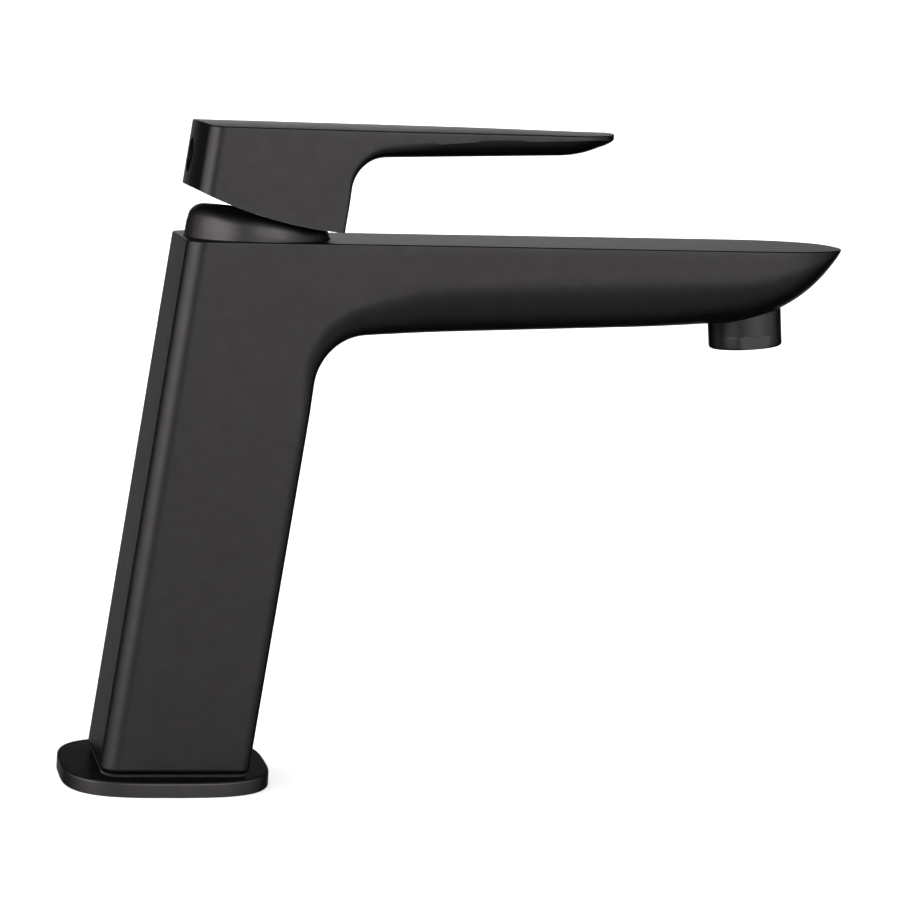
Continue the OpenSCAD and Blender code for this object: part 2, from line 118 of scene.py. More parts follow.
# Knee and underside of the lever. Its roll grows round the knee. The crease, in degrees, comes after.
KNEE_R = 11.0
KNEE_LEAD = 6.0
KNEE_TAIL = 5.0
LEVER_UNDER = (60.0, 192.6)
LEVER_UNDER_RISE = math.radians(2.7)
LEVER_ROLL = 6.4
CREASE = 34.0
CREASE_LEAD = 2.0
CREASE_TAIL = 24.0

# Top, width and tip of the lever.
LEVER_TOP_X = 4.0
LEVER_TOP_Z = 199.75
LEVER_TOP_RISE = math.radians(0.85)
CROWN = 1.05
CROWN_SPREAD = 0.1
CROWN_LOSS = 0.35
CROWN_FADES_X = (80.0, 130.0)
LEVER_TAPER_X = 47.0
LEVER_TAPER_BLEND = 10.0
LEVER_SIDE_X = LEVER_TAPER_X + 0.4
LEVER_SWEEP_X = 112.0
LEVER_TIP_X = 130.5
LEVER_TIP_HALF = 16.5
LEVER_TIP_L = 16.0
LEVER_TIP_T = 0.75
LEVER_TIP_SQUARENESS = 3.0
LEVER_EDGE_R = 0.45
TIP_ROLL = 0.12
TIP_ROLL_L = 7.0
TIP_EDGE = 0.35
TIP_EDGE_L = 6.0

# The lever's upright edge: its height at EDGE_X, what it gains toward the block and loses to the tip.
EDGE_X = 97.0
EDGE_T = 2.0
EDGE_GAIN = 2.5
EDGE_GAIN_L = 42.0
EDGE_LOSS = 0.9
EDGE_LOSS_X = (EDGE_X, 130.0)

# Plug in the block's back, and the points that carry the bulge, kept clear of every edge.
PLUG_Z = 21.0
PLUG_R = 5.25
PLUG_DEPTH = 3.0
PANEL_HALF = 16.0
PANEL_Z = (12.0, 30.0)
PANEL_CLEAR = 1.2
PANEL_CLEAR_LOW = 1.0

# Boss round the stem.
BOSS_R = 7.2
BOSS_BORE_R = 4.7
BOSS_LOW_Z = 13.4
BOSS_TOP_Z = 29.5
BOSS_BEVEL = 0.4

# Base plate: a squarish oval with a rounded edge, a seal's groove underneath and a hole.
# PLATE_LOW_EDGE holds the (inset, height) of the small round at its lower edge.
PLATE_HALF_L = 31.75
PLATE_HALF_W = 29.55
PLATE_SQUARENESS = 3.2
PLATE_TOP_R = 0.8
PLATE_LOW_EDGE = [(0.25, 0.0), (0.07, 0.07), (0.0, 0.25)]
GROOVE_OUTER_R = 25.0
GROOVE_INNER_R = 22.0
GROOVE_DEPTH = 1.0
PLATE_HOLE_R = 17.0
PLATE_HOLE_BEVEL = 0.5

# Collar, in the cartridge frame. SHOULDER is the (radius, height) of its rounded shoulder's centre.
COLLAR_R = 21.85
COLLAR_LOW_Z = -3.3
COLLAR_INNER_R = 19.2
COLLAR_MOUTH_R = 13.2
SHOULDER = (17.1, 2.7)
SHOULDER_R = 4.5

# Aerator barrel, in its own frame at the outlet, tilted so that the water leaves forward.
AERATOR_X = 178.4
AERATOR_Z = 137.7
AERATOR_TILT = math.radians(-6.0)
BARREL_R = 11.5
BARREL_H = 14.5
BARREL_RIM_R = 0.9
BARREL_BORE_R = 9.0
BARREL_THREAD_R = 9.8
FLAT_DEPTH = 1.0
FLAT_TOP = 4.2
LEDGE = 0.07


# ---------- plane geometry ----------


def direction(angle):
    return (math.cos(angle), math.sin(angle))


def left_of(angle):
    return (-math.sin(angle), math.cos(angle))


def along(point, vector, length):
    return (point[0] + vector[0] * length, point[1] + vector[1] * length)


def between(a, b, t):
    return (a[0] + (b[0] - a[0]) * t, a[1] + (b[1] - a[1]) * t)


def meet(p, d, q, e):
    """Where the line through p along d meets the line through q along e."""
    cross = d[0] * e[1] - d[1] * e[0]
    t = ((q[0] - p[0]) * e[1] - (q[1] - p[1]) * e[0]) / cross
    return along(p, d, t)


def smooth(value, low, high):
    """0 below low, 1 above high, and an even S between them."""
    t = min(1.0, max(0.0, (value - low) / (high - low)))
    return t * t * (3 - 2 * t)


def spaced(low, high, count):
    return [low + (high - low) * i / count for i in range(count + 1)]


def turns(count):
    """Angles once round, without the last, which is the first again."""
    return [math.radians(a) for a in spaced(0, 360, count)[:-1]]


def arc(cx, cy, radius, start, end, count):
    return [
        (cx + radius * math.cos(math.radians(a)), cy + radius * math.sin(math.radians(a)))
        for a in spaced(start, end, count)
    ]


def inside(point, loop):
    """Whether a point of a plane lies within a loop."""
    found = False
    for a, b in zip(loop, loop[1:] + loop[:1]):
        if (a.y > point.y) != (b.y > point.y):
            if point.x < (b.x - a.x) * (point.y - a.y) / (b.y - a.y) + a.x:
                found = not found
    return found


def plan_normals(outline):
    """Outward normals of half an outline in plan. Its ends lie on the middle plane, back and front."""
    normals = [(-1, 0)]
    for a, b in zip(outline, outline[2:]):
        dx, dy = b[0] - a[0], b[1] - a[1]
        size = math.hypot(dx, dy) or 1.0
        normals.append((-dy / size, dx / size))
    return normals + [(1, 0)]


# ---------- points in space ----------


def world(x, y, z):
    """A point of the leaning cartridge frame, in the shared frame."""
    return (
        AXIS_X + x * math.cos(LEAN) + z * math.sin(LEAN),
        y,
        TOP_Z - x * math.sin(LEAN) + z * math.cos(LEAN),
    )


def leaning(point):
    """A point of the shared frame, in the leaning cartridge frame."""
    dx, dz = point[0] - AXIS_X, point[2] - TOP_Z
    return (
        dx * math.cos(LEAN) - dz * math.sin(LEAN),
        point[1],
        dx * math.sin(LEAN) + dz * math.cos(LEAN),
    )


def on_line(x, y, height):
    """The point at a world height on the leaning line through (x, y) of the cartridge frame."""
    return world(x, y, (height - TOP_Z + x * math.sin(LEAN)) / math.cos(LEAN))


def crossing(x, y, low, high, below):
    """Where the leaning line through (x, y) leaves what is below a surface, found by halving."""
    for _ in range(40):
        z = (low + high) / 2
        if below(world(x, y, z)):
            low = z
        else:
            high = z
    return world(x, y, (low + high) / 2)


def side_view(point):
    return (point[0], point[2])


def plan_view(point):
    return (point[0], point[1])


def back_view(point):
    return leaning(point)[1:]


def to_middle(corner, count):
    """Points from a corner straight across to the middle plane."""
    x, y, z = corner
    return [(x, y * (1 - t), z) for t in spaced(0, 1, count)]


def upright(corner, high, count):
    """Points from a corner straight up to a height."""
    x, y, z = corner
    return [(x, y, z + (high - z) * t) for t in spaced(0, 1, count)]


def mirrored_loop(half):
    """A closed loop from its half with y from 0 upward and back to 0."""
    return list(half) + [(x, -y, z) for x, y, z in reversed(half) if abs(y) > 1e-6]


# ---------- curves of (point, heading) in the middle plane ----------


def bend(front, radius, point, rise):
    """Centre, start and end of the arc from the leaning line through front to a line through point."""
    centre = meet(
        along(front, left_of(COL_ANGLE), -radius),
        direction(COL_ANGLE),
        along(point, left_of(rise), -radius),
        direction(rise),
    )
    return centre, along(centre, left_of(COL_ANGLE), radius), along(centre, left_of(rise), radius)


def line_run(first, last, angle, count):
    """Along a straight line, without its last point."""
    return [(between(first, last, t), angle) for t in spaced(0, 1, count)[:-1]]


def bend_run(centre, radius, first, last, count):
    """Round a bend that turns right, without its last point."""
    return [(along(centre, left_of(angle), radius), angle) for angle in spaced(first, last, count)[:-1]]


def tip_run(centre, radius, first, swing, count):
    """Round an arc that turns left up to a tip, closer together toward it."""
    run = []
    for quarter in spaced(0, math.pi / 2, count):
        angle = first + swing * math.sin(quarter)
        run.append((along(centre, left_of(angle), -radius), angle))
    return run


def run_lengths(curve):
    """Length along the curve up to each of its points."""
    lengths = [0.0]
    for (a, _), (b, _) in zip(curve, curve[1:]):
        lengths.append(lengths[-1] + math.dist(a, b))
    return lengths


def nearest(curve, place):
    """Index of the curve's point nearest to a place."""
    return min(range(len(curve)), key=lambda i: math.dist(curve[i][0], place))


# ---------- meshes ----------


class Shell:
    """Collects faces by their corners, and joins corners that coincide."""

    def __init__(self):
        self.points = []
        self.index = {}
        self.faces = []

    def at(self, point):
        """Number of a corner, the same for corners that agree to a micrometre."""
        key = tuple(round(c, 3) for c in point)
        if key not in self.index:
            self.index[key] = len(self.points)
            self.points.append(tuple(point))
        return self.index[key]

    def face(self, corners):
        ids = []
        for corner in corners:
            i = self.at(corner)
            if i not in ids:
                ids.append(i)
        if len(ids) > 2:
            self.faces.append(ids)

    def grid(self, rows):
        """Faces between rows of as many corners each."""
        for a, b in zip(rows, rows[1:]):
            for i in range(len(a) - 1):
                self.face([a[i], a[i + 1], b[i + 1], b[i]])

    def ring(self, rows):
        """A grid whose rows close on themselves."""
        self.grid([list(row) + [row[0]] for row in rows])

    def mirror(self):
        """Adds the half beyond the middle plane."""
        for ids in list(self.faces):
            corners = [self.points[i] for i in reversed(ids)]
            self.face([(x, -y, z) for x, y, z in corners])

    def fill(self, loops, flat, inner=()):
        """Fills the first loop, leaves the others open. flat gives a corner's place in the plane."""
        points, ids, segments = [], [], []
        for loop in loops:
            first = len(points)
            for corner in loop:
                points.append(Vector(flat(corner)))
                ids.append(corner)
            count = len(points) - first
            segments += [(first + i, first + (i + 1) % count) for i in range(count)]
        for corner in inner:
            points.append(Vector(flat(corner)))
            ids.append(corner)
        out, _, triangles, origin, _, _ = delaunay_2d_cdt(points, segments, [], 0, 1e-6)
        flats = [[Vector(flat(c)) for c in loop] for loop in loops]
        for triangle in triangles:
            middle = sum((out[i] for i in triangle), Vector((0, 0))) / 3
            if not inside(middle, flats[0]) or any(inside(middle, hole) for hole in flats[1:]):
                continue
            if all(origin[i] for i in triangle):
                self.face([ids[origin[i][0]] for i in triangle])

    def revolve(self, profile, place, steps, squeeze=None):
        """Turns a closed profile of (radius, height) round the axis of place."""
        rows = []
        for turn in turns(steps):
            row = []
            for radius, height in profile:
                x, y = radius * math.cos(turn), radius * math.sin(turn)
                if squeeze:
                    x, y = squeeze(x, y, height)
                row.append(place(x, y, height))
            rows.append(row + [row[0]])
        self.grid(rows + [rows[0]])

    def build(self, name, material):
        """Makes the object. Edges that bend by more than SHARP_BEND stay hard."""
        mesh = bpy.data.meshes.new(name)
        mesh.from_pydata([Vector(p) * MM for p in self.points], [], self.faces)
        work = bmesh.new()
        work.from_mesh(mesh)
        bmesh.ops.dissolve_degenerate(work, dist=2e-7, edges=work.edges)
        bmesh.ops.recalc_face_normals(work, faces=work.faces)
        for face in work.faces:
            face.smooth = True
        for edge in work.edges:
            edge.smooth = len(edge.link_faces) == 2 and edge.calc_face_angle(0) < SHARP_BEND
        work.to_mesh(mesh)
        work.free()
        piece = bpy.data.objects.new(name, mesh)
        bpy.context.scene.collection.objects.link(piece)
        weighted = piece.modifiers.new("normals", "WEIGHTED_NORMAL")
        weighted.keep_sharp = True
        weighted.weight = 60
        mesh.materials.append(material)
        return piece


def rolled(loop, radius, height):
    """Rows that turn a leaning wall's lower end over by a quarter circle, inward and down from height."""
    rows = [loop]
    for turn in (22.5, 45, 67.5, 90):
        a = math.radians(turn)
        step, drop = radius * (1 - math.cos(a)), radius * math.sin(a)
        row = []
        for p, n in zip(loop, plan_normals(loop)):
            x = p[0] - n[0] * step - drop * math.tan(LEAN)
            row.append((x, max(0.0, p[1] - n[1] * step), height - drop))
        rows.append(row)
    return rows


def rounded_top(top, radii, surface):
    """Rows that turn a top edge over by a quarter circle, inward and up to surface(x, y)."""
    rows = [top]
    for turn in (30, 60, 90):
        a = math.radians(turn)
        row = []
        for p, r, n in zip(top, radii, plan_normals(top)):
            step = r * (1 - math.cos(a))
            x, y = p[0] - n[0] * step, max(0.0, p[1] - n[1] * step)
            row.append((x, y, surface(x, y) - r + r * math.sin(a)))
        rows.append(row)
    return rows


# ---------- materials ----------


class Nodes:
    """A short way to wire a material's nodes."""

    def __init__(self, name):
        self.material = bpy.data.materials.new(name)
        self.material.use_nodes = True
        self.tree = self.material.node_tree
        self.shader = self.tree.nodes["Principled BSDF"]

    def add(self, kind, **values):
        node = self.tree.nodes.new(kind)
        for key, value in values.items():
            if key in node.inputs:
                node.inputs[key].default_value = value
            else:
                setattr(node, key, value)
        return node

    def link(self, source, out, target, into):
        self.tree.links.new(source.outputs[out], target.inputs[into])

    def noise(self, scale, detail=3.0, rough=0.5, stretch=None):
        place = self.add("ShaderNodeTexCoord")
        noise = self.add("ShaderNodeTexNoise", Scale=scale, Detail=detail, Roughness=rough)
        if stretch:
            mapping = self.add("ShaderNodeMapping", Scale=stretch)
            self.link(place, "Object", mapping, "Vector")
            self.link(mapping, "Vector", noise, "Vector")
        else:
            self.link(place, "Object", noise, "Vector")
        return noise

    def ramp(self, noise, low, high):
        """A colour between low and high, by a noise."""
        ramp = self.add("ShaderNodeValToRGB")
        first, last = ramp.color_ramp.elements
        first.position, first.color = 0.35, (*low, 1)
        last.position, last.color = 0.65, (*high, 1)
        self.link(noise, "Fac", ramp, "Fac")
        return ramp

    def span(self, source, out, low, high, low_at=0.3, high_at=0.7):
        """A number from low to high, as the source goes from low_at to high_at."""
        span = self.add("ShaderNodeMapRange")
        span.inputs["From Min"].default_value = low_at
        span.inputs["From Max"].default_value = high_at
        span.inputs["To Min"].default_value = low
        span.inputs["To Max"].default_value = high
        self.link(source, out, span, "Value")
        return span

    def joined(self, operation, first, first_out, second, second_out):
        node = self.add("ShaderNodeMath", operation=operation)
        self.link(first, first_out, node, 0)
        self.link(second, second_out, node, 1)
        return node

    def edges(self, radius):
        """1 on worn edges and 0 elsewhere, broken up by noise."""
        bevel = self.add("ShaderNodeBevel", samples=6)
        bevel.inputs["Radius"].default_value = radius
        plain = self.add("ShaderNodeNewGeometry")
        dot = self.add("ShaderNodeVectorMath", operation="DOT_PRODUCT")
        self.link(bevel, "Normal", dot, 0)
        self.link(plain, "Normal", dot, 1)
        wear = self.span(dot, "Value", 1.0, 0.0, low_at=0.86, high_at=0.985)
        patch = self.span(self.noise(420, 4, 0.6), "Fac", 0.1, 1.0, low_at=0.42, high_at=0.66)
        return self.joined("MULTIPLY", wear, "Result", patch, "Result")

    def colour(self, noise, low, high):
        self.link(self.ramp(noise, low, high), "Color", self.shader, "Base Color")

    def roughness(self, noise, low, high):
        self.link(self.span(noise, "Fac", low, high), "Result", self.shader, "Roughness")

    def bump(self, layers):
        """Bumps from (noise, strength, distance in metres), one on the other."""
        before = None
        for noise, strength, distance in layers:
            bump = self.add("ShaderNodeBump", Strength=strength, Distance=distance)
            self.link(noise, "Fac", bump, "Height")
            if before:
                self.link(before, "Normal", bump, "Normal")
            before = bump
        self.link(before, "Normal", self.shader, "Normal")


COAT_LOW = (0.0090, 0.0084, 0.0086)
COAT_HIGH = (0.0101, 0.0095, 0.0097)
COAT_WORN = (0.034, 0.032, 0.0315)
COAT_EDGE_TINT = (0.25, 0.25, 0.25, 1)
WEAR_R = 0.4 * MM


def black_coat(name, tone=1.0, rough=0.41):
    """Satin black coat: fine orange-peel grain, patchy sheen and rubbed edges. tone scales the colour: above
    1 it gives a lighter copy of the coat, which is painted light, and below 1 a darker copy.
    """
    n = Nodes(name)
    # tone scales the whole coat's colour; a tone above 1 is painted light, a lighter copy of the same black
    # coat
    low = [c * tone for c in COAT_LOW]
    high = [c * tone for c in COAT_HIGH]
    worn = n.add("ShaderNodeMix", data_type="RGBA")
    worn.inputs["B"].default_value = (*COAT_WORN, 1)
    n.link(n.edges(WEAR_R), "Value", worn, "Factor")
    n.link(n.ramp(n.noise(240, 4, 0.6), low, high), "Color", worn, "A")
    n.link(worn, "Result", n.shader, "Base Color")
    patches = n.span(n.noise(150, 3, 0.55), "Fac", rough - 0.008, rough + 0.010)
    grain = n.span(n.noise(5200, 2, 0.5), "Fac", -0.03, 0.03)
    n.link(n.joined("ADD", patches, "Result", grain, "Result"), "Value", n.shader, "Roughness")
    n.bump([(n.noise(4200, 3, 0.6), 0.22, 0.02 * MM), (n.noise(900, 2, 0.5), 0.12, 0.03 * MM)])
    n.shader.inputs["Metallic"].default_value = 1.0
    n.shader.inputs["Specular Tint"].default_value = COAT_EDGE_TINT
    return n.material


def rubber(name):
    n = Nodes(name)
    n.colour(n.noise(300, 4, 0.6), (0.0012, 0.0012, 0.0012), (0.0024, 0.0023, 0.0022))
    n.roughness(n.noise(900), 0.6, 0.82)
    n.shader.inputs["Specular IOR Level"].default_value = 0.1
    n.bump([(n.noise(2600, 3, 0.6), 0.3, 0.03 * MM)])
    return n.material


def acetal(name, low, high):
    n = Nodes(name)
    n.colour(n.noise(140), low, high)
    n.roughness(n.noise(700), 0.36, 0.5)
    n.bump([(n.noise(1800, 2), 0.15, 0.03 * MM)])
    return n.material


def ceramic(name):
    n = Nodes(name)
    n.colour(n.noise(220, 4), (0.72, 0.7, 0.64), (0.82, 0.8, 0.75))
    n.roughness(n.noise(1500, 2), 0.1, 0.2)
    n.bump([(n.noise(5000, 2), 0.08, 0.01 * MM)])
    return n.material


def metal(name, low, high, rough, lines):
    """Machined metal: turning lines stretched one way, and smears of handling."""
    n = Nodes(name)
    n.colour(n.noise(160, 4), low, high)
    n.shader.inputs["Metallic"].default_value = 1.0
    n.roughness(n.noise(260), rough - 0.06, rough + 0.08)
    n.bump([(n.noise(700, 3, 0.6, lines), 0.25, 0.03 * MM)])
    return n.material


# ---------- body ----------


def body_top(x):
    """Height of the body's flat top."""
    return TOP_Z + (x - AXIS_X) * math.tan(TOP_RISE)


def spout_half(x):
    """Half width of the body at a distance out along the spout."""
    width = COL_HALF + (SPOUT_HALF - COL_HALF) * smooth(x, *WIDENS_X)
    start = NOSE_X - NOSE_L
    if x > start:
        u = min(1.0, (x - start) / NOSE_L)
        width *= (1 - u**NOSE_SQUARENESS) ** (1 / NOSE_SQUARENESS)
    return width


def front_curve():
    """From the foot's front, up the column, round the crook and along to the tip."""
    front = side_view(world(COL_FRONT, 0, 0))
    foot = side_view(on_line(COL_FRONT, 0, FOOT_Z))
    centre, crook_start, crook_end = bend(front, CROOK_R, UNDER_POINT, UNDER_RISE)
    # the nose's arc leaves the underside so that it ends at the tip
    under_dir = direction(UNDER_RISE)
    tip = (NOSE_X, body_top(NOSE_X))
    line = along(UNDER_POINT, left_of(UNDER_RISE), NOSE_R)
    reach = abs((tip[0] - line[0]) * under_dir[1] - (tip[1] - line[1]) * under_dir[0])
    forward = (tip[0] - line[0]) * under_dir[0] + (tip[1] - line[1]) * under_dir[1]
    nose = along(line, under_dir, forward - math.sqrt(NOSE_R**2 - reach**2))
    nose_foot = along(nose, left_of(UNDER_RISE), -NOSE_R)
    tip_angle = math.atan2(tip[0] - nose[0], nose[1] - tip[1])
    curve = line_run(foot, crook_start, COL_ANGLE, 14)
    curve += bend_run(centre, CROOK_R, COL_ANGLE, UNDER_RISE, 30)
    curve += line_run(crook_end, nose_foot, UNDER_RISE, 44)
    curve += tip_run(nose, NOSE_R, UNDER_RISE, tip_angle - UNDER_RISE, 60)
    return curve, crook_start, crook_end


def height_above(point, angle):
    """Distance from a point of the front curve to the body's top, square to the curve."""
    normal = left_of(angle)
    other = meet(point, normal, (AXIS_X, TOP_Z), direction(TOP_RISE))
    return max(0.0, (other[0] - point[0]) * normal[0] + (other[1] - point[1]) * normal[1])


def body_bands(curve, start, end):
    """Rows round the roll from the flat side to the front and underside. The crook is start to end."""
    lengths = run_lengths(curve)
    bands = []
    for i, (point, angle) in enumerate(curve):
        grow = smooth(lengths[i], lengths[start] - ROLL_LEAD, lengths[end] + ROLL_TAIL)
        radius = CORNER_FRONT + (ROLL_R - CORNER_FRONT) * grow
        depth = min(radius, ROLL_HEIGHT * height_above(point, angle)) if i > end else radius
        round_nose = smooth(point[0], *NOSE_ROUND_X)
        inset = min(radius, ROLL_WIDTH * spout_half(point[0])) * (1 - round_nose)
        inset += NOSE_WIDTH * spout_half(point[0]) * round_nose
        row = []
        for turn in spaced(0, math.pi / 2, 12):
            d = depth * (1 - math.sin(turn))
            if i == 0:
                x, z = side_view(on_line(COL_FRONT - d, 0, FOOT_Z))
            else:
                x, z = along(point, left_of(angle), d)
            row.append((x, max(0.0, spout_half(x) - inset * (1 - math.cos(turn))), z))
        bands.append(row)
    return bands


def column_wall(x, y):
    """Lower and upper end of the column's wall at (x, y) of the cartridge frame."""
    return on_line(x, y, FOOT_Z), world(x, y, x * TOP_SLOPE - TOP_EDGE_R / math.cos(LEAN))


def body_shell():
    shell = Shell()
    curve, crook_start, crook_end = front_curve()
    start, end = nearest(curve, crook_start), nearest(curve, crook_end)
    bands = body_bands(curve, start, end)
    strips = [to_middle(row[-1], 3) for row in bands]
    edges = [row[0] for row in bands]
    shell.grid(bands)
    shell.grid(strips)
    # upright side of the spout
    first = next(i for i, e in enumerate(edges) if i > end and e[0] > FLAT_SIDE_X)
    sides, radii = [], []
    for e in edges[first:]:
        radius = TOP_EDGE_R * smooth(NOSE_X - e[0], 0.0, NOSE_EDGE_L)
        sides.append(upright(e, max(e[2], body_top(e[0]) - radius), 5))
        radii.append(radius)
    shell.grid(sides)
    # back corner and back of the column
    corner = arc(COL_BACK + CORNER_BACK, COL_HALF - CORNER_BACK, CORNER_BACK, 180, 90, 14)
    back = [(COL_BACK, y) for y in spaced(0, COL_HALF - CORNER_BACK, 4)[:-1]]
    walls = [column_wall(x, y) for x, y in back + corner]
    shell.grid(walls)
    # flat side of the column and of the crook
    shell.fill([edges[: first + 1] + sides[0][1:] + [walls[-1][1], walls[-1][0]]], side_view)
    # rolled lower edge and rounded top edge
    foot_rows = rolled([low for low, high in walls] + bands[0] + strips[0][1:], FOOT_R, FOOT_Z)
    shell.grid(foot_rows)
    top = [high for low, high in walls] + [side[-1] for side in sides]
    top_rows = rounded_top(top, [TOP_EDGE_R] * len(walls) + radii, lambda x, y: body_top(x))
    shell.grid(top_rows)
    shell.mirror()
    # bottom, top and the round recess for the collar
    shell.fill([mirrored_loop(foot_rows[-1])], plan_view)
    rim, floor, ledge = [], [], []
    for turn in turns(96):
        x, y = RECESS_R * math.cos(turn), RECESS_R * math.sin(turn)
        rim.append(world(x, y, x * TOP_SLOPE))
        floor.append(world(x, y, RECESS_Z))
        ledge.append(world(x * RECESS_LEDGE, y * RECESS_LEDGE, RECESS_Z))
    shell.fill([mirrored_loop(top_rows[-1]), rim], plan_view)
    shell.ring([rim, floor, ledge])
    return shell


# ---------- handle ----------


def handle_half(x):
    """Half width of the block and of the lever, without its rounded tip."""
    slope = (BLOCK_HALF - LEVER_TIP_HALF) / (LEVER_TIP_X - LEVER_TIP_L - LEVER_TAPER_X)
    t = x - LEVER_TAPER_X
    if t <= 0:
        return BLOCK_HALF
    if t < LEVER_TAPER_BLEND:
        return BLOCK_HALF - slope * t * t / (2 * LEVER_TAPER_BLEND)
    return BLOCK_HALF - slope * (t - LEVER_TAPER_BLEND / 2)


def lever_half(x):
    """Half width with the rounded tip."""
    u = min(1.0, max(0.0, (x - (LEVER_TIP_X - LEVER_TIP_L)) / LEVER_TIP_L))
    return handle_half(x) * (1 - u**LEVER_TIP_SQUARENESS) ** (1 / LEVER_TIP_SQUARENESS)


def handle_top(x, y=None):
    """Height of the handle's top, at its edge or at y."""
    z = LEVER_TOP_Z + (x - LEVER_TOP_X) * math.tan(LEVER_TOP_RISE)
    if y is None:
        return z
    crown = CROWN * (1 - CROWN_LOSS * smooth(x, *CROWN_FADES_X))
    return z + crown * (1 - (y / (handle_half(x) + CROWN_SPREAD)) ** 2)


def handle_curve():
    """From the block's front, up, round the knee and along under the lever to the tip."""
    front = side_view(world(BLOCK_FRONT, 0, 0))
    foot = side_view(belly_point(BLOCK_FRONT, 0))
    centre, knee_start, knee_end = bend(front, KNEE_R, LEVER_UNDER, LEVER_UNDER_RISE)
    # the last arc touches the underside at the sweep's start and ends at the tip
    under_dir = direction(LEVER_UNDER_RISE)
    sweep = meet((LEVER_SWEEP_X, 0), (0, 1), knee_end, under_dir)
    tip = (LEVER_TIP_X, handle_top(LEVER_TIP_X) - LEVER_TIP_T)
    dx = (tip[0] - sweep[0]) * under_dir[0] + (tip[1] - sweep[1]) * under_dir[1]
    dz = -(tip[0] - sweep[0]) * under_dir[1] + (tip[1] - sweep[1]) * under_dir[0]
    radius = (dx * dx + dz * dz) / (2 * dz)
    middle = along(sweep, left_of(LEVER_UNDER_RISE), radius)
    curve = line_run(foot, knee_start, COL_ANGLE, 8)
    curve += bend_run(centre, KNEE_R, COL_ANGLE, LEVER_UNDER_RISE, 26)
    curve += line_run(knee_end, sweep, LEVER_UNDER_RISE, 30)
    curve += tip_run(middle, radius, LEVER_UNDER_RISE, math.asin(dx / radius), 40)
    return curve, knee_start, knee_end


def belly_point(x, y):
    """Where the leaning line through (x, y) meets the arc under the block."""

    def below(p):
        return p[2] < BELLY[1] - math.sqrt(BELLY_R**2 - (p[0] - BELLY[0]) ** 2)

    return crossing(x, y, -10.0, 30.0, below)


def block_wall(x, y):
    """Lower and upper end of the block's wall at (x, y) of the cartridge frame."""

    def below(p):
        return p[2] < handle_top(p[0], y) - LEVER_EDGE_R

    return belly_point(x, y), crossing(x, y, 10.0, 45.0, below)


def bulge(y):
    """The block's back, bulged, in the cartridge frame."""
    return BLOCK_BACK + BULGE_R - math.sqrt(BULGE_R**2 - y * y)


def edge_depth(x):
    """Height of the lever's upright edge."""
    if x < EDGE_X:
        return EDGE_T + EDGE_GAIN * smooth(EDGE_X - x, 0, EDGE_GAIN_L)
    return EDGE_T - EDGE_LOSS * smooth(x, *EDGE_LOSS_X)


def handle_bands(curve, start, end):
    """Rows round the roll from the side to the front and underside. The knee is start to end."""
    lengths = run_lengths(curve)
    bands = []
    for i, (point, angle) in enumerate(curve):
        grow = smooth(lengths[i], lengths[start] - KNEE_LEAD, lengths[end] + KNEE_TAIL)
        near, heading = curve[max(i, end)]
        edge_line = handle_top(near[0]) - edge_depth(near[0])
        full = max(0.0, (edge_line - near[1]) / left_of(heading)[1])
        depth = BLOCK_ROLL + (full - BLOCK_ROLL) * grow
        near_tip = smooth(LEVER_TIP_X - point[0], 0.0, TIP_ROLL_L)
        inset = (BLOCK_ROLL + LEVER_ROLL * grow) * (TIP_ROLL + (1 - TIP_ROLL) * near_tip)
        crease = smooth(lengths[i], lengths[end] - CREASE_LEAD, lengths[end] + CREASE_TAIL)
        lead = math.radians(CREASE * crease)
        row = []
        for turn in spaced(lead, math.pi / 2, 10):
            d = depth * (1 - math.sin(turn)) / (1 - math.sin(lead))
            if i == 0:
                x, z = side_view(belly_point(BLOCK_FRONT - d, 0))
            else:
                x, z = along(point, left_of(angle), d)
            y = lever_half(x) - inset * (math.cos(lead) - math.cos(turn)) / math.cos(lead)
            row.append((x, max(0.0, y), z))
        bands.append(row)
    return bands


def block_plan():
    """(x, y) of the block's bulged back and of its back corner, in the cartridge frame."""
    corner_y = BLOCK_HALF - BLOCK_CORNER
    reach = math.sqrt((BULGE_R - BLOCK_CORNER) ** 2 - corner_y**2)
    tilt = math.degrees(math.atan2(corner_y, -reach))
    corner = arc(BULGE_R + BLOCK_BACK - reach, corner_y, BLOCK_CORNER, tilt, 90, 14)
    back = [(bulge(y), y) for y in spaced(0, corner[0][1], 8)[:-1]]
    return back, corner


